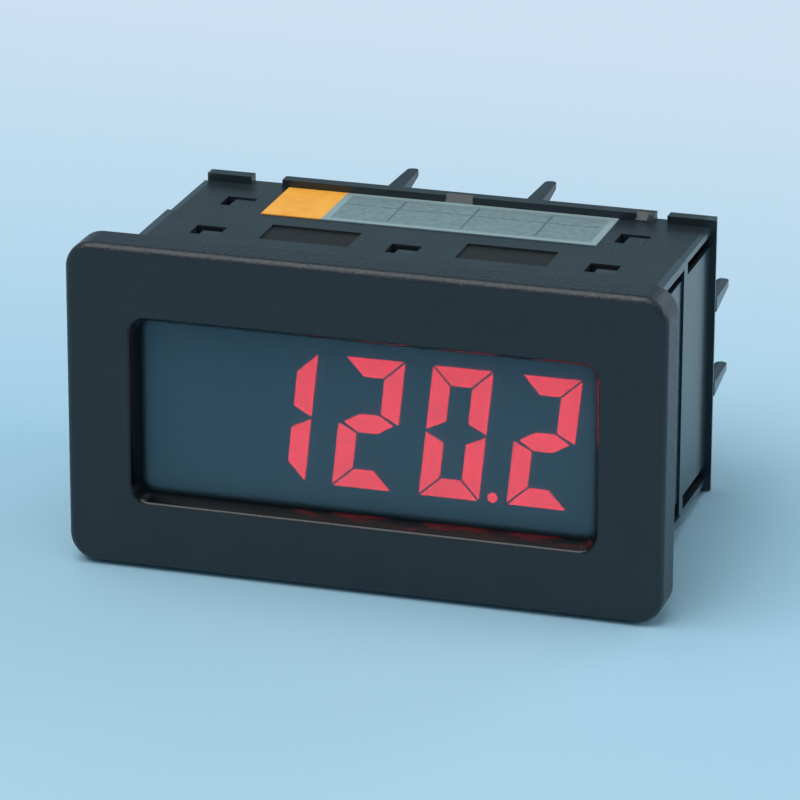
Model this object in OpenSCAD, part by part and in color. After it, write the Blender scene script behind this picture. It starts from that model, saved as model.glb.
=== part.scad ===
// Digital panel meter: snap-together case, red backlit 3 1/2 digit display, screw terminals at the rear.
// Seen from the front, X is to the right, Y goes back through the panel and Z is up.
// The origin is the centre of the panel cut-out, in the plane of the panel's front surface.

/* [Bezel] */
// Width of the bezel
bezel_w = 75; // [73:1:90]
// Height of the bezel
bezel_h = 41; // [40:1:50]
// Depth of the bezel in front of the panel
bezel_t = 5.2; // [4.8:0.1:8]
// Radius of the bezel's four corners
bezel_corner_r = 3.4; // [2:0.1:5]
// Radius round the bezel's front edge
bezel_edge_r = 1.0; // [0.4:0.1:1.5]

/* [Window] */
// Width of the window at the front
window_w = 58.8; // [56:0.1:61]
// Height of the window at the front
window_h = 23.8; // [21:0.1:25]
// How far the window's centre lies below the bezel's
window_drop = 0.2; // [0:0.1:0.6]
// Radius of the window's corners
window_corner_r = 2.2; // [1.5:0.1:3]
// Depth from the bezel's face to the lens
window_depth = 2.6; // [2:0.1:3]
// How far the sloped border runs in
window_slope = 0.7; // [0.4:0.1:1]
// Thickness of the lens
lens_t = 1.5; // [1:0.1:1.8]

/* [Body] */
// Width of the body that passes through the panel
body_w = 66.6; // [66:0.1:70]
// Height of the body that passes through the panel
body_h = 34.2; // [33.5:0.1:37]
// Depth of the body behind the panel's front surface
body_depth = 36; // [35:0.5:42]
// Depth of the front case, up to the seam
case_depth = 20.5; // [19.5:0.1:22]
// Thickness of the moulded walls
wall = 1.6; // [1.2:0.1:2]
// Height of the gaps over and under the side panels
side_gap = 1.7; // [1:0.1:2]
// How far the front case's side panels are set in
side_inset = 0.5; // [0.3:0.05:0.7]
// How far the rear cover is set in from the front case
cover_inset = 0.25; // [0.1:0.05:0.4]
// Thickness of the rear flange
flange_t = 1.7; // [1:0.1:2.5]
// How far the rear flange stands proud of the rear cover at the sides
flange_proud = 0.65; // [0.3:0.05:0.9]
// How far its lips stand above and below the rear cover
lip_h = 1.0; // [0.5:0.05:1.2]

/* [Snap windows] */
// Width of the snap windows
snap_w = 3.8; // [3:0.1:5]
// Depth of the front row of snap windows
front_snap_l = 3.4; // [3:0.1:4.5]
// Depth of the rear row of snap windows
rear_snap_l = 3.6; // [3:0.1:4.5]
// Distance between the front snap windows
front_snap_pitch = 25.1; // [22:0.1:26]
// Distance of the front snap windows behind the panel plane
front_snap_y = 14.0; // [12:0.1:14]
// Distance of the rear snap windows behind the panel plane
rear_snap_y = 26.9; // [26:0.1:28]
// How far the snap windows lie off the middle
snap_shift = -0.6; // [-1:0.1:1]
// Width of the shallow pockets
pocket_w = 11.5; // [8:0.1:13]
// Length of the shallow pockets
pocket_l = 5.9; // [4:0.1:6]
// Depth of the shallow pockets
pocket_depth = 0.3; // [0.2:0.1:0.8]

/* [Display] */
// Height of the digits
digit_h = 16.7; // [12:0.1:17]
// Width of a digit before it is slanted
digit_w = 7.5; // [6:0.1:9]
// Distance from digit to digit
digit_pitch = 11.0; // [9.5:0.05:11.4]
// Width of a segment
stroke = 2.35; // [1:0.05:2.6]
// Gap between two segments
segment_gap = 0.28; // [0.15:0.01:0.5]
// Slant of the digits in degrees
slant = 6; // [0:0.5:12]
// How far the digits sit below the middle of the window
digit_drop = 0.75; // [0:0.05:1]
// Thickness of each display glass
glass_t = 0.8; // [0.5:0.1:1.1]
// Thickness of the light guide
guide_t = 2.6; // [2:0.1:3]
// Thickness of the circuit boards
board_t = 1.6; // [1:0.1:2]

/* [Terminals] */
// Number of terminals
ways = 6; // [3:1:6]
// Distance from terminal to terminal
way_pitch = 5.08; // [5:0.01:5.3]
// Depth of the terminal block behind its board
block_d = 10.4; // [10:0.1:12]
// Height of the terminal block, along the wires
block_h = 9.0; // [8.5:0.1:9.4]
// Radius of the terminal screws' heads
screw_head_r = 1.7; // [1.4:0.05:1.8]
// Radius of the terminal screws' threads
screw_r = 1.25; // [1:0.05:1.3]
// Room that a clamp has to rise
clamp_travel = 1.8; // [1:0.1:2]

/* [Setting controls] */
// Number of slide switches
switch_ways = 4; // [2:1:4]
// Distance from slider to slider
switch_pitch = 2.54; // [2.5:0.01:2.8]
// Travel of a slider
slider_travel = 1.6; // [1:0.1:2]
// Side of the square trimmers
trimmer_side = 6.6; // [5.5:0.1:7]
// Radius of a trimmer's rotor
rotor_r = 1.8; // [1.2:0.1:2]

/* [Rear tabs] */
// Length of the tapered tabs behind the flange
tab_l = 8.0; // [5:0.1:10]
// Width of a tab at its root
tab_root_w = 2.0; // [1.6:0.1:3]
// Width of a tab at its tip
tab_tip_w = 1.5; // [0.8:0.1:1.6]
// Thickness of a tab at its root
tab_root_t = 1.8; // [1.5:0.1:2.5]
// Thickness of a tab at its tip
tab_tip_t = 0.7; // [0.6:0.1:1.5]

/* [Fits] */
// Clearance between pieces that are fitted together
fit = 0.1; // [0.05:0.05:0.2]
// Running clearance round a turning piece
run_fit = 0.05; // [0.02:0.01:0.1]

/* [Hidden] */
$fn = 48;

e = 0.01;                                  // overshoot of a cutting tool
black = "#2c3336";
board_green = "#1f5a3c";

// Front of the case, from the face back to the display
half_w = body_w / 2;
half_h = body_h / 2;
cover_w = body_w - 2 * cover_inset;
cover_h = body_h - 2 * cover_inset;
lens_y = window_depth - bezel_t;           // front of the lens
lens_back_y = lens_y + lens_t;
opening_w = window_w - 2 * window_slope;   // window in front of the lens
opening_h = window_h - 2 * window_slope;
slope_depth = window_depth / 2;
lens_lap = 0.9;                            // how far the lens reaches behind the window's edge
lens_w = opening_w + 2 * lens_lap;
lens_h = opening_h + 2 * lens_lap;
inner_w = body_w - 2 * (side_inset + wall);
inner_h = body_h - 2 * wall;
side_rail = 0.65 * wall;                    // wall over and under each side gap
side_panel_h = body_h - 2 * (side_rail + side_gap);
skin_t = 0.55;                             // thickness of a side panel's thinned edge
panel_rebate = 2.4;

// Display stack
frame_y = lens_back_y + fit;
frame_rim_t = 0.6;
film_t = 0.2;
seal_t = 0.1;
glass_lap = 0.6;                           // how far the glasses reach past the window
glass_w = opening_w + 2 * glass_lap + 0.4;
glass_h = opening_h + 2 * glass_lap;
frame_wall = 0.9;                          // side of the display frame above and below the glass
rear_glass_h = inner_h - 2 * (fit + frame_wall + fit);
ledge_h = (rear_glass_h - glass_h) / 2;    // contact ledges of the rear glass, above and below
polariser_y = frame_y + frame_rim_t;
glass_y = polariser_y + film_t;
segment_y = glass_y + glass_t;
rear_glass_y = segment_y + seal_t;
rear_film_y = rear_glass_y + glass_t;
guide_y = rear_film_y + film_t;
display_board_y = guide_y + guide_t + fit;
board_w = inner_w - 2 * (wall + fit);
board_h = rear_glass_h;
strip_h = 1.3;
strip_z = rear_glass_h / 2 - fit - strip_h / 2;

// Rear half
main_board_y = body_depth - flange_t - 6.4 - board_t;
main_board_h = inner_h - 2 * 2.6;
main_board_w = inner_w - 2 * 1.2;
board_back_y = main_board_y + board_t;
boss_r = 2.2;
boss_hole_r = 0.85;
boss_x = main_board_w / 2 - boss_r - 0.4;
boss_z = main_board_h / 2 - boss_r - 0.4;
flange_w = cover_w + 2 * flange_proud;
flange_h = cover_h + 2 * lip_h;

// Terminal block, along the lower edge of the rear
block_w = ways * way_pitch + 1.2;
block_z = -half_h + 4.6;                   // underside of the block
block_mid_z = block_z + block_h / 2;
clamp_w = 4.2;
clamp_h = 4.4;
clamp_d = 4.6;
clamp_wall = 0.8;
clamp_y = board_back_y + 1.0;              // front of a clamp at rest, opened fully
cell_d = clamp_d + clamp_travel + 0.2;
screw_head_t = 1.5;
head_y = clamp_y + cell_d + 0.6;
screw_reach = clamp_travel + clamp_wall + 0.9;
contact_t = 0.8;
contact_w = clamp_w - 2 * clamp_wall - 0.5;
contact_y = clamp_y + clamp_d - clamp_wall - contact_t - fit;
wire_hole = clamp_w - 2 * clamp_wall;
bay_w = block_w + 1.0;
bay_top_z = block_z + block_h + 0.4;

// Controls beside the terminal block
control_z = (bay_top_z + half_h - wall) / 2 + 0.1;
control_top_y = body_depth - 0.9;          // face of the switch
control_d = control_top_y - board_back_y;
trimmer_top_y = body_depth - flange_t - fit; // faces of the trimmers
switch_x = -board_w / 5;
switch_w = switch_ways * switch_pitch + 1.4;
switch_h = 7.2;
slot_w = 1.5;
slider_h = 1.4;
slider_proud = 0.7;
slider_root_t = 1.0;
zero_x = 6.2;
span_x = zero_x + trimmer_side + 2.6;
rotor_t = 1.6;
rotor_seat_t = 1.4;
slot_depth = 0.7;

// Snap hooks
hook_gap = 0.15;                           // how far a catch stays below the surface round it
hook_side = 1.2;                           // open strip beside a catch
hook_back = 1.05;                          // open strip behind a catch
hook_w = snap_w - hook_side - fit;
hook_x = (hook_side - fit) / 2;
front_hook_l = front_snap_l - hook_back - fit;
rear_hook_l = rear_snap_l - 3 * fit;
arm_t = 1.0;
tongue_t = 1.2;
tongue_w = 7;
tongue_root_l = 3.4;
rear_snap_x = front_snap_pitch + 0.4;

// Rear flange and tabs
left_notch_x = -24.8;
left_notch_w = 4.1;
right_notch_x = 26.55;
right_notch_w = 1.7;
lip_slopes = [[-1.4, 2.3], [23.3, right_notch_x - right_notch_w / 2 + e]];
gusset_w = 0.8;
gusset_x = right_notch_x - right_notch_w / 2 - gusset_w;
gusset_l = 1.1;
flange_chamfer = 0.35;
corner_relief = 1.0;                       // cut at the top left corner of the flange
top_tab_x = [-8.25, 9.9];
side_tab_z = [-3.9, 7.2];

// Labels on the top of the rear cover
label_t = 0.12;
label_x0 = -21.8;
label_x1 = 21.3;
orange_w = 7.8;
label_y0 = case_depth + 2.4;
label_y1 = body_depth - flange_t - fit;

// ---- shapes shared by several pieces ----

// Rectangle with round corners
module round_rect(w, h, r) {
    square([w - 2 * r, h], center = true);
    square([w, h - 2 * r], center = true);
    for (sx = [-1, 1], sz = [-1, 1])
        translate([sx * (w / 2 - r), sz * (h / 2 - r)]) circle(r);
}

// Stands a flat outline upright and gives it depth from y to y + d
module upright(y, d) {
    translate([0, y + d, 0]) rotate([90, 0, 0]) linear_extrude(d) children();
}

// Upright plate with round corners
module plate(w, h, y, d, r = 0.3, z = 0) {
    translate([0, 0, z]) upright(y, d) round_rect(w, h, r);
}

// Block given by its centre in X and Z and by its front in Y
module block(w, d, h, x, y, z) {
    translate([x - w / 2, y, z - h / 2]) cube([w, d, h]);
}

// Cylinder along Y
module peg(r, y, d, x = 0, z = 0) {
    translate([x, y + d, z]) rotate([90, 0, 0]) cylinder(r = r, h = d);
}

// Plate whose front edge is rounded all the way round
module soft_plate(w, h, t, r, edge) {
    rotate([90, 0, 0]) {
        linear_extrude(t - edge) round_rect(w, h, r);
        translate([0, 0, t - edge]) {
            linear_extrude(edge) round_rect(w - 2 * edge, h - 2 * edge, r - edge);
            for (s = [-1, 1]) {
                translate([s * (w / 2 - edge), 0, 0]) rotate([90, 0, 0]) cylinder(r = edge, h = h - 2 * r, center = true);
                translate([0, s * (h / 2 - edge), 0]) rotate([0, 90, 0]) cylinder(r = edge, h = w - 2 * r, center = true);
            }
            for (sx = [-1, 1], sz = [-1, 1])
                translate([sx * (w / 2 - r), sz * (h / 2 - r), 0]) rotate_extrude() translate([r - edge, 0]) circle(edge);
        }
    }
}

// Both mirror images of a piece over and under the middle
module top_and_bottom() {
    children();
    mirror([0, 0, 1]) children();
}

// Both mirror images of a piece left and right of the middle
module left_and_right() {
    children();
    mirror([1, 0, 0]) children();
}

// Wedge-shaped catch: its profile lies in Y and Z, drops by a fall towards the rear and ends in a short lead-in
module catch(w, l, x, y, z0, z1, fall) {
    translate([x - w / 2, 0, 0]) rotate([90, 0, 90])
        linear_extrude(w) polygon([[y, z0], [y + l, z0], [y + l, z1 - fall - 0.3], [y + l - 0.3, z1 - fall], [y, z1]]);
}

// Walls of a body shell from y0 to y1, with set-in side panels between open gaps
module shell_walls(w, h, y0, y1, gap_y0, gap_y1, inset) {
    difference() {
        block(w, y1 - y0, h, 0, y0, 0);
        block(inner_w, y1 - y0 + 2 * e, inner_h, 0, y0 - e, 0);
        left_and_right() {
            block(inset * 2, gap_y1 - gap_y0, side_panel_h, w / 2, gap_y0, 0);
            top_and_bottom() {
                block(4 * wall, gap_y1 - gap_y0, side_gap, w / 2, gap_y0, side_panel_h / 2 + side_gap / 2);
                // the panel's edge is thinned on the inside
                block(w - 2 * (inset + skin_t) - inner_w, gap_y1 - gap_y0, side_gap + panel_rebate, inner_w / 2, gap_y0, side_panel_h / 2 + (side_gap - panel_rebate) / 2);
            }
        }
    }
}

// ---- front half ----

module window_cut() {
    translate([0, 0, -window_drop]) {
        plate(opening_w, opening_h, -bezel_t - e, window_depth + 2 * e, window_corner_r - window_slope / 2);
        // sloped border, widest at the face
        hull($fn = 32) {
            upright(-bezel_t - e, e) round_rect(window_w, window_h, window_corner_r, $fn = 32);
            upright(-bezel_t + slope_depth, e) round_rect(opening_w, opening_h, window_corner_r - window_slope / 2, $fn = 32);
        }
        plate(lens_w + 2 * fit, lens_h + 2 * fit, lens_y, lens_t + e, window_corner_r);
    }
}

module front_case() {
    color(black) difference() {
        union() {
            soft_plate(bezel_w, bezel_h, bezel_t, bezel_corner_r, bezel_edge_r);
            shell_walls(body_w, body_h, -e, case_depth, 1.2, case_depth + e, side_inset);
            // tongues that reach into the rear cover, with a catch for each rear window
            top_and_bottom() for (s = [-1, 1]) {
                block(tongue_w, tongue_root_l + e, tongue_t + fit + e, snap_shift + s * rear_snap_x, case_depth - tongue_root_l, inner_h / 2 - (tongue_t + fit) / 2 + e / 2);
                block(tongue_w, rear_snap_y + rear_snap_l / 2 + 1 - case_depth, tongue_t, snap_shift + s * rear_snap_x, case_depth, inner_h / 2 - fit - tongue_t / 2);
                catch(hook_w, rear_hook_l, snap_shift + s * rear_snap_x + hook_x, rear_snap_y - rear_snap_l / 2 + fit, inner_h / 2 - fit - e, cover_h / 2 - fit / 2, 0.1);
            }
        }
        window_cut();
        // room for the display behind the lens
        block(inner_w, -lens_back_y + 2 * e, inner_h, 0, lens_back_y, 0);
        top_and_bottom() {
            for (i = [-1:1]) block(snap_w, front_snap_l, 4 * wall, snap_shift + i * front_snap_pitch, front_snap_y - front_snap_l / 2, half_h);
            for (s = [-1, 1]) block(pocket_w, pocket_l, 2 * pocket_depth, snap_shift * 0.8 + s * front_snap_pitch / 2, front_snap_y - front_snap_l / 2 + 0.4, half_h);
        }
    }
}

module window_lens() {
    color("#5a3038", 0.6) plate(lens_w, lens_h, lens_y, lens_t, window_corner_r - fit, -window_drop);
}

module display_frame() {
    frame_w = inner_w - 2 * fit;
    frame_h = inner_h - 2 * fit;
    frame_back_y = display_board_y + board_t + 0.8;
    color("#24282a") union() {
        difference() {
            plate(frame_w, frame_h, frame_y, frame_back_y - frame_y, 0.4);
            // window for the display
            plate(opening_w, opening_h, frame_y - e, frame_rim_t + 2 * e, 0.4, -window_drop);
            // seat of the glass with its contact ledges, then the seat of the board
            plate(glass_w + 2 * fit, rear_glass_h + 2 * fit, polariser_y, frame_back_y, 0.3, 0);
            plate(board_w + 2 * fit, board_h + 2 * fit, display_board_y, frame_back_y, 0.3);
        }
        // spring arms with a catch for each front window
        top_and_bottom() for (i = [-1:1]) {
            block(hook_w, front_snap_y + front_snap_l / 2 - hook_back - frame_back_y, arm_t, snap_shift + i * front_snap_pitch + hook_x, frame_back_y - e, frame_h / 2 - arm_t / 2);
            catch(hook_w, front_hook_l, snap_shift + i * front_snap_pitch + hook_x, front_snap_y - front_snap_l / 2 + fit, frame_h / 2 - e, half_h - hook_gap, 0.05);
        }
        // clips that hold the board
        left_and_right()
            block(0.8, 0.8, 6, board_w / 2 - 0.3, display_board_y + board_t, 0);
    }
}

module front_polariser() {
    color("#39474d") plate(glass_w - 1, glass_h - 0.6, polariser_y, film_t, 0.2);
}

module front_glass() {
    color("#8aa0a8", 0.4) plate(glass_w, glass_h, glass_y, glass_t, 0.2);
}

module rear_glass() {
    color("#8aa0a8", 0.4) plate(glass_w, rear_glass_h, rear_glass_y, glass_t, 0.2);
}

module display_seal() {
    color("#1c2022") difference() {
        plate(glass_w - 0.2, glass_h - 0.2, segment_y, seal_t, 0.2);
        plate(glass_w - 1.4, glass_h - 1.4, segment_y - e, seal_t + 2 * e, 0.2);
    }
}

module rear_polariser() {
    color("#39474d") plate(glass_w - 1, glass_h - 0.6, rear_film_y, film_t, 0.2);
}

// ---- digits ----

function lean(points) = [for (p = points) [p[0] + p[1] * tan(slant), p[1]]];

// Outlines of the seven segments, for a digit with its lower left corner at the origin
m = segment_gap * 0.7;
mid = digit_h / 2;
function top_bar() = [[m, digit_h], [digit_w - m, digit_h], [digit_w - stroke - m, digit_h - stroke], [stroke + m, digit_h - stroke]];
function middle_bar() = [[stroke * 0.2 + m, mid], [stroke + m, mid + stroke / 2], [digit_w - stroke - m, mid + stroke / 2],
    [digit_w - stroke * 0.2 - m, mid], [digit_w - stroke - m, mid - stroke / 2], [stroke + m, mid - stroke / 2]];
function left_bar() = [[0, digit_h - m], [stroke, digit_h - stroke - m], [stroke, mid + stroke / 2 + m], [0, mid + m]];
function flip_x(points) = [for (p = points) [digit_w - p[0], p[1]]];
function flip_z(points) = [for (p = points) [p[0], digit_h - p[1]]];
function segment(name) =
    name == "a" ? top_bar() :
    name == "b" ? flip_x(left_bar()) :
    name == "c" ? flip_x(flip_z(left_bar())) :
    name == "d" ? flip_z(top_bar()) :
    name == "e" ? flip_z(left_bar()) :
    name == "f" ? left_bar() : middle_bar();

module digit(names) {
    for (name = names) polygon(lean(segment(name)));
}

digit_margin = 2.9;                        // from the last digit's upper right corner to the window
digit_x0 = opening_w / 2 - digit_margin - digit_w - digit_h * tan(slant);   // lower left corner of the last digit
digit_z0 = -digit_h / 2 - window_drop - digit_drop;
dot_r = 0.62;

module lit_segments() {
    color("#ff3b46") upright(segment_y, seal_t) {
        translate([digit_x0, digit_z0]) digit("abged");
        translate([digit_x0 - digit_pitch, digit_z0]) digit("abcdef");
        translate([digit_x0 - 2 * digit_pitch, digit_z0]) digit("abged");
        translate([digit_x0 - 3 * digit_pitch, digit_z0]) digit("bc");
        translate([digit_x0 - (digit_pitch - digit_w) / 2, digit_z0 + dot_r]) circle(dot_r);
    }
}

// ---- backlight and display board ----

led_w = 1.8;
led_l = 3.2;

module light_guide() {
    color("#dfe6e4", 0.8) difference() {
        plate(glass_w - 1, glass_h - 0.6, guide_y, guide_t, 0.3);
        for (s = [-1, 1], z = [-1, 1])
            block(2 * led_w + 2 * fit, guide_t + 2 * e, led_l + 2 * fit, s * (glass_w - 1) / 2, guide_y - e, z * glass_h / 4);
    }
}

module backlight_leds() {
    color("#f4f1e6") for (s = [-1, 1], z = [-1, 1])
        block(led_w, guide_t - fit, led_l, s * ((glass_w - 1) / 2 - led_w / 2), guide_y + 2 * fit, z * glass_h / 4);
}

module contact_strips() {
    color("#c9a7a0") top_and_bottom()
        block(glass_w - 4, display_board_y - rear_film_y, strip_h, 0, rear_film_y, strip_z);
}

module display_board() {
    color(board_green) difference() {
        plate(board_w, board_h, display_board_y, board_t, 0.4);
        for (i = [-4:4]) peg(0.55, display_board_y - e, board_t + 2 * e, header_x(i), header_z);
    }
}

header_pitch = 2.54;
header_z = main_board_h / 2 - 2.6;
header_r = 0.32;
function header_x(i) = i * header_pitch;

module board_header() {
    body_d = 2.5;
    color("#1a1c1d") difference() {
        block(9 * header_pitch, body_d, header_pitch, 0, display_board_y + board_t, header_z);
        for (i = [-4:4]) peg(header_r, display_board_y + board_t - e, body_d + 2 * e, header_x(i), header_z);
    }
    color("#c8a24a") for (i = [-4:4])
        peg(header_r, display_board_y + 0.2, board_back_y - 0.4 - display_board_y, header_x(i), header_z);
}

module converter_chip() {
    chip = 14;
    chip_y = display_board_y + board_t;
    pins = 12;
    lead_pitch = 1.0;
    color("#17191a") block(chip - 2, 1.9, chip - 2, 0, chip_y + 0.2, -3.2);
    color("#b9bcbd") for (i = [0:pins - 2]) {
        x = (i - (pins - 2) / 2) * lead_pitch;
        for (s = [-1, 1]) {
            block(0.4, 0.3, 1.3, x, chip_y, -3.2 + s * (chip / 2 - 0.45));
            block(0.4, 0.9, 0.3, x, chip_y, -3.2 + s * (chip / 2 - 0.95));
            block(1.3, 0.3, 0.4, s * (chip / 2 - 0.45), chip_y, x - 3.2);
            block(0.3, 0.9, 0.4, s * (chip / 2 - 0.95), chip_y, x - 3.2);
        }
    }
}

// ---- main board ----

module main_board() {
    color(board_green) difference() {
        plate(main_board_w, main_board_h, main_board_y, board_t, 0.5);
        for (i = [-4:4]) peg(header_r + 0.2, main_board_y - e, board_t + 2 * e, header_x(i), header_z);
        for (sx = [-1, 1], sz = [-1, 1]) peg(1.1, main_board_y - e, board_t + 2 * e, sx * boss_x, sz * boss_z);
        for (i = [0:ways - 1]) peg(0.75, main_board_y - e, board_t + 2 * e, way_x(i), contact_tail_z);
    }
}

module board_screws() {
    head_r = 1.9;
    head_t = 1.3;
    shank_l = 5.4;
    color("#b9bdbf") for (sx = [-1, 1], sz = [-1, 1]) translate([sx * boss_x, 0, sz * boss_z]) difference() {
        union() {
            peg(head_r, main_board_y - head_t, head_t);
            peg(boss_hole_r - run_fit, main_board_y - e, shank_l);
        }
        block(0.5, 0.7, 2 * head_r, 0, main_board_y - head_t - e, 0);
        block(2 * head_r, 0.7, 0.5, 0, main_board_y - head_t - e, 0);
    }
}

module reference_chip() {
    chip_w = 6;
    chip_h = 4;
    chip_t = 1.7;
    chip_x = main_board_w * 0.2;
    chip_z = main_board_h * 0.08;
    lead_pitch = 1.27;
    color("#17191a") block(chip_w, chip_t - 0.2, chip_h, chip_x, main_board_y - chip_t, chip_z);
    color("#b9bcbd") for (i = [0:3], s = [-1, 1]) {
        x = chip_x + (i - 1.5) * lead_pitch;
        block(0.4, 0.3, 1.0, x, main_board_y - 0.3, chip_z + s * (chip_h / 2 + 0.4));
        block(0.4, chip_t - 0.7, 0.3, x, main_board_y - chip_t + 0.7, chip_z + s * chip_h / 2);
    }
}

module capacitors() {
    can_r = 3.15;
    can_l = 7;
    can_z = main_board_h * 0.08;
    for (x = [-main_board_w * 0.33, -main_board_w * 0.33 + 2 * can_r + 1.3]) {
        color("#20242b") difference() {
            peg(can_r, main_board_y - 0.6 - can_l, can_l, x, can_z);
            // crimped groove near the foot
            translate([x, main_board_y - 2, can_z]) rotate([90, 0, 0]) rotate_extrude() translate([can_r + 0.2, 0]) circle(0.5);
        }
        color("#17191a") peg(can_r - 0.2, main_board_y - 0.6, 0.6, x, can_z);
    }
}

module chip_resistors() {
    row_z = -main_board_h * 0.32;
    for (i = [0:5]) {
        x = main_board_w * (0.065 + i * 0.056);
        color("#17191a") block(1.5, 0.5, 1.25, x, main_board_y - 0.5, row_z);
        color("#b9bcbd") for (s = [-1, 1]) block(0.25, 0.55, 1.25, x + s * 0.875, main_board_y - 0.55, row_z);
    }
}

module crystal() {
    can_w = 6.4;
    can_r = 2.2;
    can_t = 3.4;
    x = -main_board_w * 0.02;
    z = main_board_h * 0.04;
    color("#c2c6c8") {
        block(can_w, can_t, 2 * can_r, x, main_board_y - can_t, z);
        for (s = [-1, 1]) peg(can_r, main_board_y - can_t, can_t, x + s * can_w / 2, z);
        block(can_w + 2 * can_r + 1, 0.5, 2 * can_r + 0.6, x, main_board_y - 0.5, z);
    }
}

// ---- rear half ----

// Tab from the flange to the rear: tapers in plan to a round tip, flat on top, and its underside rises to the tip
module tapered_tab() {
    straight = tab_l - tab_tip_w / 2;
    intersection() {
        translate([0, 0, -tab_root_t - e]) linear_extrude(tab_root_t + e) {
            polygon([[-tab_root_w / 2, -e], [tab_root_w / 2, -e], [tab_tip_w / 2, straight], [-tab_tip_w / 2, straight]]);
            translate([0, straight]) circle(tab_tip_w / 2);
        }
        translate([-tab_root_w, 0, 0]) rotate([90, 0, 90]) linear_extrude(2 * tab_root_w)
            polygon([[-2 * e, 0], [-2 * e, -tab_root_t], [tab_l + e, -tab_tip_t], [tab_l + e, 0]]);
    }
}

// Rear flange: its outer edges slope inwards to the rear on the left and right
module flange(rear_y) {
    intersection() {
        plate(flange_w, flange_h, rear_y, flange_t, 0.3);
        translate([0, 0, -flange_h]) linear_extrude(2 * flange_h)
            polygon([[-flange_w / 2, rear_y - e], [flange_w / 2, rear_y - e], [flange_w / 2, rear_y + 0.3],
                [flange_w / 2 - flange_chamfer, body_depth + e], [-flange_w / 2 + flange_chamfer, body_depth + e], [-flange_w / 2, rear_y + 0.3]]);
    }
}

// Slope cut into the front of the top lip between x0 and x1
module lip_slope(x0, x1, rear_y) {
    translate([x0, 0, 0]) rotate([90, 0, 90]) linear_extrude(x1 - x0)
        polygon([[rear_y - e, cover_h / 2 + 0.1], [rear_y - e, flange_h / 2 + e], [rear_y + 0.9, flange_h / 2 + e]]);
}

module rear_cover() {
    rear_y = body_depth - flange_t;
    boss_l = rear_y - board_back_y;
    color(black) difference() {
        union() {
            shell_walls(cover_w, cover_h, case_depth + fit, rear_y + e, case_depth + fit + 1.7, rear_y - 0.1, cover_inset / 2);
            difference() {
                flange(rear_y);
                for (s = lip_slopes) lip_slope(s[0], s[1], rear_y);
            }
            for (sx = [-1, 1], sz = [-1, 1]) peg(boss_r, board_back_y, boss_l + e, sx * boss_x, sz * boss_z);
            for (x = top_tab_x) translate([x, body_depth, flange_h / 2]) tapered_tab();
            left_and_right() for (z = side_tab_z)
                translate([flange_w / 2 - flange_chamfer / 2 - tab_root_w / 2, body_depth, z]) tapered_tab();
            // web that braces the top lip beside its notch
            translate([gusset_x, 0, 0]) rotate([90, 0, 90]) linear_extrude(gusset_w)
                polygon([[rear_y - gusset_l, cover_h / 2 - e], [rear_y + 1, cover_h / 2 - e], [rear_y + 1, flange_h / 2], [rear_y + 0.7, flange_h / 2]]);
        }
        for (sx = [-1, 1], sz = [-1, 1]) peg(boss_hole_r, board_back_y - e, boss_l - 0.4, sx * boss_x, sz * boss_z);
        top_and_bottom() for (s = [-1, 1])
            block(snap_w, rear_snap_l, 4 * wall, snap_shift + s * rear_snap_x, rear_snap_y - rear_snap_l / 2, half_h);
        // notches in the top lip, and its left end
        block(2 * corner_relief, flange_t + 2 * e, flange_h - cover_h + 2 * corner_relief, -flange_w / 2, rear_y - e, flange_h / 2);
        block(left_notch_w, flange_t + 2 * e, flange_h - cover_h, left_notch_x, rear_y - e, flange_h / 2);
        block(right_notch_w, flange_t + 2 * e, flange_h - cover_h, right_notch_x, rear_y - e, flange_h / 2);
        // bay that leaves the terminals open to the rear and below
        bay_h = bay_top_z + flange_h / 2 + e;
        block(bay_w, body_depth - board_back_y - 1.6, bay_h, 0, board_back_y + 1.6 + e, bay_top_z - bay_h / 2);
        // windows for the setting controls
        block(switch_w + 4 * fit, 3 * flange_t, switch_h + 4 * fit, switch_x, rear_y - flange_t, control_z);
        for (x = [zero_x, span_x]) peg(rotor_r + 0.5, rear_y - flange_t, 3 * flange_t, x, control_z);
    }
}

module silver_label() {
    color("#8fa9ab") translate([label_x0 + orange_w, label_y0, cover_h / 2])
        cube([label_x1 - label_x0 - orange_w, label_y1 - label_y0, label_t]);
}

module orange_label_field() {
    color("#f5aa4b") translate([label_x0, label_y0, cover_h / 2]) cube([orange_w, label_y1 - label_y0, label_t]);
}

// ---- terminals ----

function way_x(i) = (i - (ways - 1) / 2) * way_pitch;
contact_tail_z = block_z + block_h - 1.4;
cell_z = block_z + clamp_h / 2 + 1.0;      // middle of each clamp

module terminal_block() {
    cell_w = clamp_w + 2 * fit;
    cell_h = clamp_h + 2 * fit;
    rear_y = board_back_y + block_d;
    color("#3c5a4a") difference() {
        union() {
            block(block_w, block_d - 0.8, block_h, 0, board_back_y, block_mid_z);
            block(block_w, block_d, block_h - 1.6, 0, board_back_y, block_mid_z);
        }
        for (i = [0:ways - 1]) {
            x = way_x(i);
            // cell of the clamp, open towards the board
            block(cell_w, clamp_y - board_back_y + cell_d, cell_h, x, board_back_y - e, cell_z);
            // wire entry from below
            block(wire_hole, contact_y - clamp_y - clamp_wall, 4, x, clamp_y + clamp_wall, block_z);
            block(wire_hole, clamp_travel + 1.4, 3, x, clamp_y + clamp_wall, block_z);
            // passage of the screw and of a screwdriver
            peg(screw_r + 0.15, head_y - 1, 2, x, cell_z);
            peg(screw_head_r + 0.1, head_y, block_d, x, cell_z);
            // slot for the contact strip, up past the clamp
            block(contact_w + 2 * fit, contact_y + contact_t + fit - board_back_y + e, contact_tail_z + 0.7 - cell_z, x,
                board_back_y - e, (contact_tail_z + 0.7 + cell_z) / 2);
        }
    }
}

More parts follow.
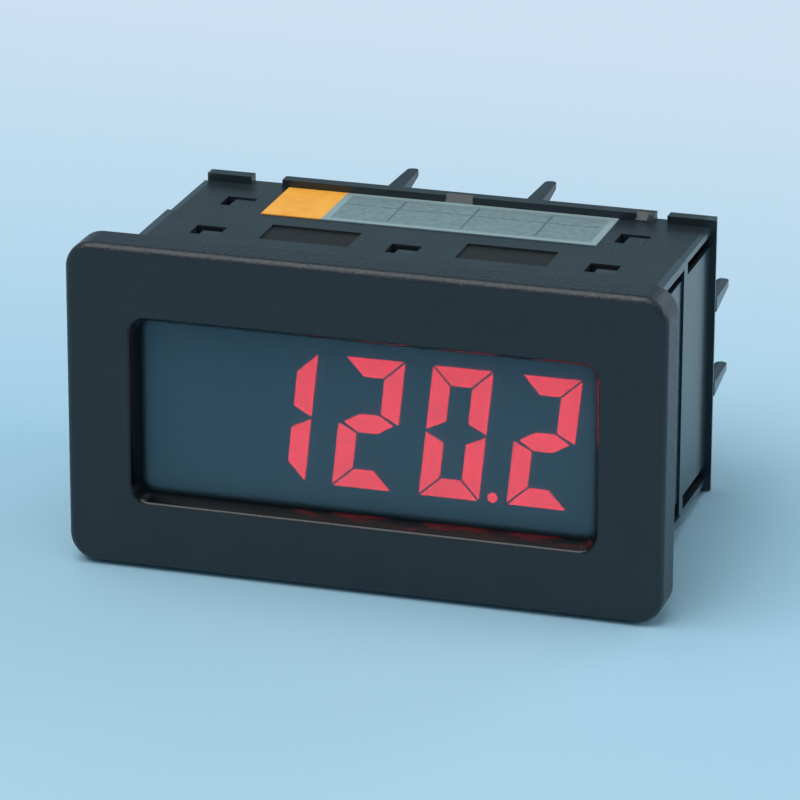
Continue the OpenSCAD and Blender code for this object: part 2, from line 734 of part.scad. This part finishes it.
module terminal_contacts() {
    tail_l = board_t + 1.2;
    color("#c9b98a") for (i = [0:ways - 1]) {
        bar_low_z = cell_z - clamp_h / 2 + 0.2;
        bar_high_z = contact_tail_z + 0.5;
        difference() {
            union() {
                block(contact_w, contact_t, bar_high_z - bar_low_z, way_x(i), contact_y, (bar_high_z + bar_low_z) / 2);
                block(contact_w, contact_y + contact_t - board_back_y, contact_t, way_x(i), board_back_y, bar_high_z - contact_t / 2);
                block(0.9, tail_l, contact_t, way_x(i), board_back_y - tail_l, contact_tail_z);
            }
            peg(screw_r + 0.2, contact_y - e, contact_t + 2 * e, way_x(i), cell_z);
        }
    }
}

module terminal_screw(i) {
    slot_w = 0.6;
    color("#c3c7c8") translate([way_x(i), 0, cell_z]) difference() {
        union() {
            peg(screw_head_r, head_y + fit / 2, screw_head_t);
            peg(screw_r, head_y - screw_reach, screw_reach + fit);
        }
        block(2 * screw_head_r + 1, slot_depth + e, slot_w, 0, head_y + fit / 2 + screw_head_t - slot_depth, 0);
    }
}

module wire_clamp(i) {
    color("#b8bcbe") difference() {
        block(clamp_w, clamp_d, clamp_h, way_x(i), clamp_y, cell_z);
        // opening for the wire and the contact strip
        block(clamp_w - 2 * clamp_wall, clamp_d - 2 * clamp_wall, clamp_h + 2 * e, way_x(i), clamp_y + clamp_wall, cell_z);
        peg(screw_r + run_fit, clamp_y + clamp_d - clamp_wall - e, clamp_wall + 2 * e, way_x(i), cell_z);
    }
}

// ---- setting controls ----

function slider_x(i) = switch_x + (i - (switch_ways - 1) / 2) * switch_pitch;

module switch_body() {
    color("#a32b2b") difference() {
        block(switch_w, control_d, switch_h, switch_x, board_back_y, control_z);
        for (i = [0:switch_ways - 1]) {
            block(slot_w, 2, slider_h + slider_travel + 0.3, slider_x(i), control_top_y - 1, control_z);
            block(slot_w + 0.5, slider_root_t + fit, slider_h + slider_travel + 1.1, slider_x(i), control_top_y - 1 - slider_root_t, control_z);
        }
    }
}

module switch_slider(i) {
    low_z = control_z - slider_travel / 2;
    color("#f2f2ee") {
        block(slot_w - 2 * fit, slider_proud + 1 + fit / 2, slider_h, slider_x(i), control_top_y - 1 - fit / 2, low_z);
        block(slot_w + 0.3, slider_root_t - fit, slider_h + 0.8, slider_x(i), control_top_y - 1 + fit / 2 - slider_root_t, low_z);
    }
}

module trimmer_body(x) {
    color("#2f5f9c") difference() {
        block(trimmer_side, trimmer_top_y - board_back_y, trimmer_side, x, board_back_y, control_z);
        peg(rotor_r + run_fit, trimmer_top_y - rotor_t, rotor_t + e, x, control_z);
    }
}

module trimmer_rotor(x) {
    color("#e8e4d8") difference() {
        peg(rotor_r, trimmer_top_y - rotor_t + run_fit, rotor_t, x, control_z);
        block(2 * rotor_r + 1, slot_depth, 0.5, x, trimmer_top_y + run_fit - slot_depth + e, control_z);
    }
}

module zero_trimmer_body() { trimmer_body(zero_x); }
module span_trimmer_body() { trimmer_body(span_x); }
module zero_trimmer_rotor() { trimmer_rotor(zero_x); }
module span_trimmer_rotor() { trimmer_rotor(span_x); }

// ---- the assembly ----

front_case();
window_lens();
display_frame();
front_polariser();
front_glass();
lit_segments();
display_seal();
rear_glass();
rear_polariser();
light_guide();
backlight_leds();
contact_strips();
display_board();
converter_chip();
board_header();
main_board();
reference_chip();
capacitors();
chip_resistors();
crystal();
board_screws();
rear_cover();
silver_label();
orange_label_field();
terminal_block();
terminal_contacts();
switch_body();
zero_trimmer_body();
span_trimmer_body();
zero_trimmer_rotor();
span_trimmer_rotor();
for (i = [1:ways]) {
    terminal_screw(i - 1);
    wire_clamp(i - 1);
}
for (i = [1:switch_ways])
    switch_slider(i - 1);
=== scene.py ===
"""Digital panel meter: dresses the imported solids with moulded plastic, lit display, label film and plated metal."""
import math

import bmesh
import bpy
from mathutils import Matrix, Vector


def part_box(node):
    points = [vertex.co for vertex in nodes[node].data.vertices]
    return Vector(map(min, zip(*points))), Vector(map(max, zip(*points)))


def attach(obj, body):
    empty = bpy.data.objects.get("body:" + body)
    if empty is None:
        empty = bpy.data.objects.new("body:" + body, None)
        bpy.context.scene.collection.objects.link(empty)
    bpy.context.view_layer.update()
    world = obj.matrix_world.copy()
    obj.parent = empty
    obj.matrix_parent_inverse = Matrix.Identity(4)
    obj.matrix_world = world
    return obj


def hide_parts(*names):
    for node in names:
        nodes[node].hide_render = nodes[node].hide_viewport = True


MM = 0.001
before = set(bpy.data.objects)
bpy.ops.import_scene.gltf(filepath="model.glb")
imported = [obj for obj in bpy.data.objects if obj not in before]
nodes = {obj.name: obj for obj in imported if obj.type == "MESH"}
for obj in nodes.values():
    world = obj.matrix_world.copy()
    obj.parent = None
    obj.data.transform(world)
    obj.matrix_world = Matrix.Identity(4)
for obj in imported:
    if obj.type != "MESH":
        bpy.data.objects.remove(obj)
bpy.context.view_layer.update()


# ---- shader maths ----

class Value:
    """A socket that can be used in arithmetic; each operator adds its Math node."""

    def __init__(self, finish, socket):
        self.finish, self.socket = finish, socket

    def math(self, operation, *others):
        return self.finish.add("ShaderNodeMath", {0: self, **{i + 1: o for i, o in enumerate(others)}},
                               operation=operation)

    def __add__(self, other): return self.math("ADD", other)
    def __radd__(self, other): return self.math("ADD", other)
    def __sub__(self, other): return self.math("SUBTRACT", other)
    def __rsub__(self, other): return self.math("MULTIPLY_ADD", -1.0, other)
    def __mul__(self, other): return self.math("MULTIPLY", other)
    def __rmul__(self, other): return self.math("MULTIPLY", other)
    def __truediv__(self, other): return self.math("DIVIDE", other)
    def __pow__(self, other): return self.math("POWER", other)
    def __abs__(self): return self.math("ABSOLUTE")
    def least(self, other): return self.math("MINIMUM", other)
    def most(self, other): return self.math("MAXIMUM", other)
    def root(self): return self.math("SQRT")

    def step(self, low, high):
        """0 below low, 1 above high, and smooth between them."""
        return self.finish.add("ShaderNodeMapRange", {"Value": self, "From Min": low, "From Max": high},
                               interpolation_type="SMOOTHSTEP")

    def span(self, low, high, to_low, to_high):
        """to_low at low, to_high at high, and straight between them."""
        return self.finish.add("ShaderNodeMapRange", {"Value": self, "From Min": low, "From Max": high,
                                                      "To Min": to_low, "To Max": to_high})


class Nodes:
    """A node tree and the ways to add to it."""

    def __init__(self, owner):
        owner.use_nodes = True
        self.tree = owner.node_tree
        self.place = None

    def add(self, kind, inputs=None, out=0, stops=None, **settings):
        """A node with its settings, its colour stops and the values or links of its sockets."""
        node = self.tree.nodes.new(kind)
        for key, value in settings.items():
            setattr(node, key, value)
        if stops:
            ramp = node.color_ramp
            while len(ramp.elements) < len(stops):
                ramp.elements.new(1.0)
            for element, (at, colour) in zip(ramp.elements, stops):
                element.position, element.color = at, (*colour, 1.0)
        for key, value in (inputs or {}).items():
            self.feed(node.inputs[key], value)
        return Value(self, node.outputs[out])

    def feed(self, socket, value):
        if isinstance(value, Value):
            self.tree.links.new(value.socket, socket)
        elif isinstance(value, (tuple, list)) and len(value) == 3 and len(socket.default_value) == 4:
            socket.default_value = (*value, 1.0)
        else:
            socket.default_value = value

    def at(self):
        """Object coordinates."""
        if self.place is None:
            self.place = self.add("ShaderNodeTexCoord", out="Object")
        return self.place

    def axes(self):
        """x, y and z in millimetres."""
        split = self.add("ShaderNodeSeparateXYZ", {0: self.at()})
        node = split.socket.node
        return [Value(self, node.outputs[i]) * 1000.0 for i in range(3)]

    def grain(self, size_mm, detail=2.0, rough=0.5, stretch=(1, 1, 1)):
        """Noise whose lumps are about size_mm across, from 0 to 1."""
        scale = [1000.0 / size_mm * k for k in stretch]
        place = self.add("ShaderNodeMapping", {"Vector": self.at(), "Scale": scale})
        return self.add("ShaderNodeTexNoise",
                        {"Vector": place, "Scale": 1.0, "Detail": detail, "Roughness": rough})

    def cells(self, size_mm):
        """Distance to the middle of the nearest cell, for cells about size_mm across."""
        return self.add("ShaderNodeTexVoronoi", {"Vector": self.at(), "Scale": 1000.0 / size_mm},
                        out="Distance", feature="F1")

    def mix(self, factor, a, b):
        """Colour a where factor is 0, b where it is 1."""
        return self.add("ShaderNodeMix", {0: factor, 6: a, 7: b}, out=2, data_type="RGBA")

    def blend(self, factor, a, b):
        """Number a where factor is 0, b where it is 1."""
        return self.add("ShaderNodeMix", {0: factor, 2: a, 3: b}, out=0, data_type="FLOAT")


class Finish(Nodes):
    """One material: its nodes, and the sockets of its Principled shader."""

    def __init__(self, name, **constants):
        self.material = bpy.data.materials.new(name)
        super().__init__(self.material)
        self.shader = self.tree.nodes["Principled BSDF"]
        self.use(**constants)

    def use(self, **sockets):
        """Sets sockets of the shader by their names, with _ for a space."""
        for key, value in sockets.items():
            self.feed(self.shader.inputs[key.replace("_", " ")], value)
        return self

    def bump(self, height, depth_mm, strength=1.0):
        """Feeds Normal from a height between 0 and 1."""
        normal = self.add("ShaderNodeBump", {"Height": height, "Distance": depth_mm * MM, "Strength": strength})
        return self.use(Normal=normal)


def round_box(x, z, half_w, half_h, radius):
    """Signed distance in millimetres from a rectangle with round corners, negative inside."""
    dx = abs(x) - (half_w - radius)
    dz = abs(z) - (half_h - radius)
    outside = (dx.most(0.0) ** 2.0 + dz.most(0.0) ** 2.0).root()
    return outside + dx.most(dz).least(0.0) - radius


# ---- sizes taken from the solids ----

bezel_low, bezel_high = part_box("front_case")
cover_low, cover_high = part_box("rear_cover")
lens_low, lens_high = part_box("window_lens")
label_low, label_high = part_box("silver_label")
orange_low, orange_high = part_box("orange_label_field")
flange_proud = 0.65          # flange past the rear cover's sides
tab_reach = 8                # tabs past the rear face
lens_lap = 0.2               # how far the lens reaches behind the window's edge, past the slope
rear_face_y = cover_high.y - tab_reach * MM
half_body = cover_high.x / MM - flange_proud
top_z = 17.1                 # top of the front case's body
pocket_front, pocket_back = 12.7, 18.6
pocket_floor = top_z - 0.3
window_z = (lens_low.z + lens_high.z) / 2 / MM
window_half_w = (lens_high.x - lens_low.x) / 2 / MM - lens_lap
window_half_h = (lens_high.z - lens_low.z) / 2 / MM - lens_lap
window_corner = 2.2


# ---- finishes ----

def moulded_black():
    """Black moulding: sparkling grain on the bezel, satin walls behind it, gloss inside the window; the side walls
    are painted lighter as painted light, and the window's walls near black as painted shade.
    """
    f = Finish("black_moulding")
    x, y, z = f.axes()
    window = round_box(x, z - window_z, window_half_w, window_half_h, window_corner)
    in_window = window.step(0.3, 0.0) * (y * -1.0).step(0.1, 0.4)
    bezel = (y * -1.0).step(-0.05, 0.1)
    side = abs(x).step(half_body - 0.9, half_body - 0.6) * (1.0 - bezel)
    pocket = abs(z).step(pocket_floor - 0.12, pocket_floor - 0.06)
    pocket = pocket * abs(z).step(pocket_floor + 0.16, pocket_floor + 0.1)
    pocket = pocket * y.step(pocket_front - 0.2, pocket_front - 0.1)
    pocket = pocket * y.step(pocket_back + 0.3, pocket_back + 0.2) * (1.0 - side)
    coarse = f.grain(0.42, 3.0, 0.6)
    fine = f.grain(0.17, 2.0, 0.6)
    spark = f.cells(0.33)
    cloud = f.grain(6.0, 2.0).span(0.35, 0.65, 0.0, 1.0)
    face = f.mix(cloud, (0.0075, 0.0135, 0.0185), (0.0100, 0.0165, 0.0215))
    body = f.mix(cloud, (0.0115, 0.0185, 0.0225), (0.0150, 0.0225, 0.0265))
    # painted light: the side walls are painted a lighter, bluer black for the light that falls on them; their lower
    # roughness is the real satin finish
    body = f.mix(side, body, (0.020, 0.034, 0.042))
    body = f.mix(pocket, body, (0.004, 0.006, 0.007))
    colour = f.mix(bezel, body, face)
    # painted shade: the walls and ledge inside the window recess are painted near black; their gloss comes from the
    # roughness set below
    f.use(Base_Color=f.mix(in_window, colour, (0.0015, 0.002, 0.0025)))
    rough = f.blend(side, coarse.span(0.3, 0.7, 0.34, 0.44), 0.22)
    rough = f.blend(bezel, rough, coarse.span(0.3, 0.7, 0.32, 0.46))
    rough = f.blend(pocket, rough, 0.62)
    f.use(Roughness=f.blend(in_window, rough, 0.2))
    hatch = ((x + y) * 2.2).math("PINGPONG", 0.5)
    texture = coarse * 0.6 + fine * 0.4 + spark * 0.5
    height = f.blend(bezel, fine * 0.1 + coarse * 0.12 + pocket * hatch * 0.8, texture)
    f.bump(height * (1.0 - in_window * 0.97), 0.06)
    return f.material


def plain_moulding(name, dark, light, rough=0.48, grain=0.2, depth=0.012):
    """Moulded plastic with a fine surface and slight clouding."""
    f = Finish(name)
    cloud = f.grain(2.5, 2.0)
    fine = f.grain(grain, 2.0)
    f.use(Base_Color=f.mix(cloud.span(0.35, 0.65, 0.0, 1.0), dark, light))
    f.use(Roughness=fine.span(0.3, 0.7, rough - 0.05, rough + 0.06))
    f.bump(fine, depth)
    return f.material


def metal(name, colour, rough, brushed=(1, 1, 1), dull=0.35):
    """Plated metal with fine brushing and dull patches."""
    f = Finish(name, Metallic=1.0)
    haze = f.grain(0.6, 3.0)
    brush = f.grain(0.12, 2.0, 0.6, brushed)
    f.use(Base_Color=f.mix(haze.span(0.35, 0.7, 0.0, dull), colour, tuple(c * 0.6 for c in colour)))
    f.use(Roughness=brush.span(0.3, 0.7, rough - 0.08, rough + 0.12))
    f.bump(brush, 0.004)
    return f.material


def lens_finish():
    """Tinted clear plastic with a satin front, darker round its border, that lets the lit segments through."""
    f = Finish("window_tint", IOR=1.49)
    f.material.surface_render_method = "BLENDED"
    x, y, z = f.axes()
    satin = f.grain(0.12, 2.0)
    cloud = f.grain(18.0, 1.0)
    tint = f.mix(cloud.span(0.4, 0.6, 0.0, 1.0), (0.052, 0.120, 0.163), (0.058, 0.126, 0.168))
    slope = 0.7
    border = round_box(x, z - window_z, window_half_w - slope, window_half_h - slope, 1.6)
    f.use(Base_Color=f.mix(border.step(-1.1, 0.1), tint, (0.012, 0.022, 0.028)))
    f.use(Roughness=satin.span(0.3, 0.7, 0.24, 0.34), Alpha=0.62)
    f.bump(satin, 0.004)
    return f.material


def clear_sheet(name, tint, alpha, rough):
    """Thin see-through sheet: glass or film."""
    f = Finish(name, IOR=1.5)
    f.material.surface_render_method = "BLENDED"
    streak = f.grain(3.0, 1.0)
    f.use(Base_Color=f.mix(streak, tint, tuple(min(1.0, c * 1.15) for c in tint)), Alpha=alpha,
          Roughness=streak.span(0.3, 0.7, rough, rough + 0.05))
    return f.material


def lit_red():
    """Lit segments, a little brighter in the middle rows than at the ends, with faint unevenness."""
    f = Finish("lit_red", Roughness=0.5)
    x, y, z = f.axes()
    glow = f.grain(5.0, 1.0)
    shade = (abs(z + 1.0) * 0.02 + glow * 0.25).span(0.05, 0.35, 0.0, 1.0)
    colour = f.mix(shade, (1.0, 0.030, 0.040), (0.92, 0.034, 0.048))
    f.use(Base_Color=(0.3, 0.02, 0.03), Emission_Color=colour, Emission_Strength=9.5)
    return f.material


def silver_film():
    """Silver-grey label film: light border round a darker printed field, split by thin lines into blank boxes."""
    f = Finish("silver_label", Specular_IOR_Level=0.6)
    x, y, z = f.axes()
    mid_x, mid_y = (label_low.x + label_high.x) / 2 / MM, (label_low.y + label_high.y) / 2 / MM
    half_x, half_y = (label_high.x - label_low.x) / 2 / MM, (label_high.y - label_low.y) / 2 / MM
    margin, box_w = 0.9, 9.5
    edge = round_box(x - mid_x, y - mid_y, half_x - margin, half_y - margin, 0.3)
    mottle = f.grain(0.9, 4.0, 0.7)
    fine = f.grain(0.15, 2.0)
    field = f.mix(mottle.span(0.38, 0.62, 0.0, 1.0), (0.145, 0.215, 0.225), (0.205, 0.285, 0.295))
    row = abs(y - mid_y - 1.2).step(0.16, 0.08)
    column = ((x - mid_x) / box_w + 0.5).math("FRACT").math("SUBTRACT", 0.5)
    column = abs(column).step(0.017, 0.009)
    lines = row.most(column) * edge.step(-0.5, -0.6)
    field = f.mix(lines * 0.75, field, (0.05, 0.085, 0.095))
    f.use(Base_Color=f.mix(edge.step(-0.06, 0.06), field, (0.27, 0.37, 0.375)))
    f.use(Roughness=fine.span(0.3, 0.7, 0.38, 0.5))
    f.bump(edge.step(0.06, -0.06) * 0.4 + fine * 0.1, 0.01)
    return f.material


def orange_film():
    """Plain orange field of the label."""
    f = Finish("orange_label")
    tone = f.grain(1.6, 3.0, 0.6)
    fine = f.grain(0.15, 2.0)
    f.use(Base_Color=f.mix(tone.span(0.35, 0.65, 0.0, 1.0), (0.93, 0.37, 0.035), (1.0, 0.46, 0.055)))
    f.use(Roughness=fine.span(0.3, 0.7, 0.42, 0.55))
    f.bump(fine, 0.005)
    return f.material


def frame_moulding():
    """Dull black inside the body, painted near black there as painted shade; the tops of its catches, which show in
    the snap windows, are satin and painted lighter, a painted highlight of the light falling through the windows.
    """
    f = Finish("frame_moulding")
    x, y, z = f.axes()
    top = abs(z).step(top_z - 0.9, top_z - 0.5)
    fine = f.grain(0.2, 2.0)
    # painted light and shade: the catch tops are painted lighter where light falls on them through the snap windows,
    # and the rest is painted near black
    f.use(Base_Color=f.mix(top, (0.003, 0.0035, 0.004), (0.020, 0.030, 0.036)))
    f.use(Roughness=f.blend(top, fine.span(0.3, 0.7, 0.7, 0.8), fine.span(0.3, 0.7, 0.34, 0.44)))
    f.bump(fine, 0.01)
    return f.material


def board_green():
    """Solder mask with faint copper runs under it."""
    f = Finish("solder_mask", Coat_Weight=0.3)
    x, y, z = f.axes()
    lanes = (x * 0.787).math("FRACT").step(0.42, 0.5) * (z * 0.25).math("FRACT").step(0.2, 0.3)
    f.use(Base_Color=f.mix(lanes, (0.010, 0.085, 0.035), (0.018, 0.14, 0.055)),
          Roughness=f.grain(0.8).span(0.3, 0.7, 0.28, 0.4))
    f.bump(lanes, 0.02)
    return f.material


black = moulded_black()
frame_black = frame_moulding()
steel = metal("zinc_plate", (0.62, 0.64, 0.66), 0.32, (1, 1, 6))
nickel = metal("nickel_plate", (0.58, 0.57, 0.55), 0.3, (6, 1, 1))
tin = metal("tinned_brass", (0.72, 0.66, 0.5), 0.3)
gold = metal("gold_pins", (0.9, 0.66, 0.3), 0.28)
epoxy = plain_moulding("chip_epoxy", (0.012, 0.012, 0.013), (0.018, 0.018, 0.019), 0.6)
finishes = {
    "front_case": black, "rear_cover": black, "window_lens": lens_finish(), "display_frame": frame_black,
    "front_polariser": clear_sheet("polariser_film", (0.05, 0.075, 0.085), 0.30, 0.3),
    "front_glass": clear_sheet("display_glass", (0.5, 0.62, 0.66), 0.06, 0.05),
    "rear_glass": clear_sheet("display_glass_rear", (0.30, 0.38, 0.40), 0.3, 0.05),
    "rear_polariser": plain_moulding("polariser_rear", (0.012, 0.022, 0.028), (0.014, 0.025, 0.031), 0.3),
    "lit_segments": lit_red(),
    "display_seal": plain_moulding("seal_line", (0.02, 0.02, 0.02), (0.03, 0.03, 0.03)),
    "light_guide": plain_moulding("milky_guide", (0.66, 0.70, 0.69), (0.74, 0.78, 0.76), 0.25),
    "backlight_leds": plain_moulding("lamp_resin", (0.8, 0.72, 0.45), (0.86, 0.8, 0.55), 0.3),
    "contact_strips": plain_moulding("contact_rubber", (0.45, 0.25, 0.22), (0.52, 0.32, 0.28), 0.6),
    "display_board": board_green(), "converter_chip": epoxy, "reference_chip": epoxy, "chip_resistors": epoxy,
    "board_header": gold,
    "capacitors": plain_moulding("can_sleeve", (0.01, 0.012, 0.03), (0.015, 0.018, 0.04), 0.3),
    "crystal": steel, "board_screws": steel,
    "silver_label": silver_film(), "orange_label_field": orange_film(),
    "terminal_block": plain_moulding("terminal_moulding", (0.012, 0.085, 0.035), (0.016, 0.10, 0.042), 0.42),
    "terminal_contacts": tin,
    "switch_body": plain_moulding("switch_moulding", (0.36, 0.018, 0.016), (0.42, 0.022, 0.02), 0.4),
    "trimmer_body": plain_moulding("trimmer_moulding", (0.018, 0.075, 0.30), (0.022, 0.09, 0.34), 0.38),
    "trimmer_rotor": plain_moulding("rotor_moulding", (0.66, 0.63, 0.54), (0.72, 0.69, 0.6), 0.4),
    "slider": plain_moulding("slider_moulding", (0.74, 0.74, 0.70), (0.8, 0.8, 0.77), 0.4),
}
finishes["main_board"] = finishes["display_board"]


def finish_of(name):
    """A node's finish; the numbered pieces and the trimmers share theirs by kind."""
    for key, sample in (("terminal_screw", steel), ("wire_clamp", nickel), ("switch_slider", finishes["slider"]),
                        ("trimmer_body", finishes["trimmer_body"]),
                        ("trimmer_rotor", finishes["trimmer_rotor"])):
        if key in name:
            return sample
    return finishes[name]


def paint(obj, material):
    obj.data.materials.clear()
    obj.data.materials.append(material)


for name, obj in nodes.items():
    paint(obj, finish_of(name))


# ---- the two mouldings, with their edges eased ----

def level_edges(shape, axis, level_mm, keep):
    """The sharp edges that lie in a level plane and pass the test keep(edge)."""
    found = []
    for edge in shape.edges:
        level = all(abs(v.co[axis] / MM - level_mm) < 0.02 for v in edge.verts)
        if level and len(edge.link_faces) == 2:
            if edge.calc_face_angle(0.0) > math.radians(25) and keep(edge):
                found.append(edge)
    return found


def round_over(shape, edges, radius_mm, segments=3):
    """Rounds the edges over."""
    bmesh.ops.bevel(shape, geom=edges, offset=radius_mm * MM, affect="EDGES", segments=segments,
                    profile=0.5, material=-1, clamp_overlap=True)


def eased(node, body, width_mm, rounding):
    """A merged copy of a solid that takes its place.

    rounding(shape) rounds its main edges, and its other sharp edges get a small bevel.
    """
    shape = bmesh.new()
    shape.from_mesh(nodes[node].data)
    bmesh.ops.remove_doubles(shape, verts=shape.verts, dist=0.002 * MM)
    bmesh.ops.dissolve_limit(shape, angle_limit=math.radians(0.3),
                             verts=shape.verts, edges=shape.edges)
    rounding(shape)
    mesh = bpy.data.meshes.new(node + "_eased")
    shape.to_mesh(mesh)
    shape.free()
    mesh.shade_smooth()
    obj = bpy.data.objects.new(node + "_eased", mesh)
    bpy.context.scene.collection.objects.link(obj)
    paint(obj, finish_of(node))
    bevel = obj.modifiers.new("eased edges", "BEVEL")
    bevel.width, bevel.segments = width_mm * MM, 2
    bevel.limit_method, bevel.angle_limit = "ANGLE", math.radians(40)
    bevel.harden_normals = True
    bevel.miter_outer = "MITER_ARC"
    weighted = obj.modifiers.new("face normals", "WEIGHTED_NORMAL")
    weighted.keep_sharp = True
    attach(obj, body)
    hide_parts(node)
    return obj


def round_window(shape):
    """Rounds the window's front edge."""
    def near_window(edge):
        return all(abs(v.co.x / MM) < window_half_w + 1.0
                   and abs(v.co.z / MM - window_z) < window_half_h + 1.0 for v in edge.verts)
    round_over(shape, level_edges(shape, 1, bezel_low.y / MM, near_window), 0.22)


def round_lip(shape):
    """Rounds the top edges of the rear flange's lip."""
    def on_lip(edge):
        return all(-2.0 < (v.co.y - rear_face_y) / MM < 0.1 for v in edge.verts)
    round_over(shape, level_edges(shape, 2, cover_high.z / MM, on_lip), 0.3)


eased("front_case", "housing", 0.12, round_window)
eased("rear_cover", "housing", 0.14, round_lip)


# ---- printed numerals at the rear ----

ink = plain_moulding("white_ink", (0.50, 0.53, 0.53), (0.58, 0.60, 0.60), 0.5)
ink_t, ink_lift = 0.03, 0.02
size_per_height = 1.38       # font size over the height of a numeral


def numerals(name, marks, height_mm, low_z_mm):
    """Numerals printed on the rear face; marks holds pairs of a text and its place in X."""
    shape = bmesh.new()
    for text, x_mm in marks:
        outline = bpy.data.curves.new(name, "FONT")
        outline.body, outline.size, outline.extrude = text, height_mm * size_per_height * MM, ink_t * MM
        outline.align_x = "CENTER"
        glyph = bpy.data.objects.new(name, outline)
        mesh = bpy.data.meshes.new_from_object(glyph)
        mesh.transform(Matrix.Translation((x_mm * MM, rear_face_y + ink_lift * MM, low_z_mm * MM))
                       @ Matrix.Rotation(math.pi, 4, "Z") @ Matrix.Rotation(math.pi / 2, 4, "X"))
        shape.from_mesh(mesh)
        bpy.data.objects.remove(glyph)
        bpy.data.meshes.remove(mesh)
    mesh = bpy.data.meshes.new(name)
    shape.to_mesh(mesh)
    shape.free()
    obj = bpy.data.objects.new(name, mesh)
    bpy.context.scene.collection.objects.link(obj)
    paint(obj, ink)
    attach(obj, "housing")


def middle_x(node):
    low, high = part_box(node)
    return (low.x + high.x) / 2 / MM


numerals("terminal_numerals", [(str(i), middle_x("terminal_screw_%d" % i)) for i in range(1, 7)],
         height_mm=1.5, low_z_mm=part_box("terminal_block")[1].z / MM + 0.9)
numerals("switch_numerals", [(str(i), middle_x("switch_slider_%d" % i)) for i in range(1, 5)],
         height_mm=1.3, low_z_mm=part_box("switch_body")[1].z / MM + 0.8)


# ---- floor, lights and camera ----

# The meter rests on the lower edge of its bezel and on the lower edge of the rear flange.
lean = math.atan2(cover_low.z - bezel_low.z, rear_face_y)

floor_shape = bmesh.new()
bmesh.ops.create_grid(floor_shape, x_segments=1, y_segments=1, size=3.0)
bmesh.ops.rotate(floor_shape, verts=floor_shape.verts, matrix=Matrix.Rotation(lean, 3, "X"),
                 cent=(0, 0, 0))
bmesh.ops.translate(floor_shape, verts=floor_shape.verts, vec=(0, 0, bezel_low.z))
floor_mesh = bpy.data.meshes.new("floor")
floor_shape.to_mesh(floor_mesh)
floor_shape.free()
floor = bpy.data.objects.new("floor", floor_mesh)
bpy.context.scene.collection.objects.link(floor)
f = Finish("floor_card_painted_shadow", Roughness=0.7)
x, y, z = f.axes()
card_front, card_back = -60.0, 190.0
far = y.span(card_front, card_back, 0.0, 1.0)
# painted shadow and light: the floor colour is darkest under the meter as a painted shadow, lighter in front of it,
# and palest towards the back as painted light
f.use(Base_Color=f.add("ShaderNodeValToRGB", {0: far}, stops=[
    (0.0, (0.42, 0.64, 0.76)), (0.35, (0.36, 0.60, 0.74)),
    (0.62, (0.50, 0.68, 0.80)), (1.0, (0.66, 0.76, 0.86))]))
paint(floor, f.material)

world = bpy.data.worlds.new("studio")
bpy.context.scene.world = world
sky = Nodes(world)
height = sky.add("ShaderNodeSeparateXYZ", {0: sky.add("ShaderNodeTexCoord", out="Generated")}, out="Z")
sky_colour = sky.add("ShaderNodeValToRGB", {0: height}, stops=[
    (0.0, (0.34, 0.52, 0.64)), (0.30, (0.30, 0.46, 0.57)), (0.46, (0.07, 0.105, 0.13)),
    (0.85, (0.07, 0.105, 0.13)), (1.0, (0.16, 0.20, 0.23))])
sky.feed(sky.tree.nodes["Background"].inputs["Color"], sky_colour)


def soft_light(name, place, size, power, colour, aim=(0, 0.01, 0)):
    """A rectangular light turned to the meter."""
    data = bpy.data.lights.new(name, "AREA")
    data.shape, (data.size, data.size_y) = "RECTANGLE", size
    data.energy, data.color = power, colour
    light = bpy.data.objects.new(name, data)
    bpy.context.scene.collection.objects.link(light)
    light.location = place
    light.rotation_euler = (Vector(aim) - Vector(place)).to_track_quat("-Z", "Y").to_euler()


soft_light("overhead box", (-0.30, -0.30, 1.15), (1.3, 1.3), 16.0, (0.97, 0.99, 1.0))
soft_light("right window", (1.1, 0.35, 0.55), (0.7, 0.6), 4.0, (0.92, 0.97, 1.0))
soft_light("rear fill", (0.7, 1.1, 0.8), (0.6, 0.6), 3.0, (0.92, 0.97, 1.0))

camera_place = Vector((175.385, -565.342, 214.313)) * MM
yaw, pitch, roll = math.radians(16.927), math.radians(19.694), math.radians(0.187)
back = Vector((math.sin(yaw) * math.cos(pitch), -math.cos(yaw) * math.cos(pitch), math.sin(pitch)))
right = Vector((math.cos(yaw), math.sin(yaw), 0))
up = back.cross(right)
right, up = math.cos(roll) * right + math.sin(roll) * up, math.cos(roll) * up - math.sin(roll) * right
lens = bpy.data.cameras.new("camera")
lens.lens, lens.sensor_width, lens.clip_start, lens.clip_end = 235.25, 36.0, 0.01, 20.0
camera = bpy.data.objects.new("camera", lens)
camera.matrix_world = Matrix.Translation(camera_place) @ Matrix((right, up, back)).transposed().to_4x4()
bpy.context.scene.collection.objects.link(camera)
bpy.context.scene.camera = camera
bpy.context.scene.view_settings.view_transform = "Standard"

bpy.context.view_layer.update()
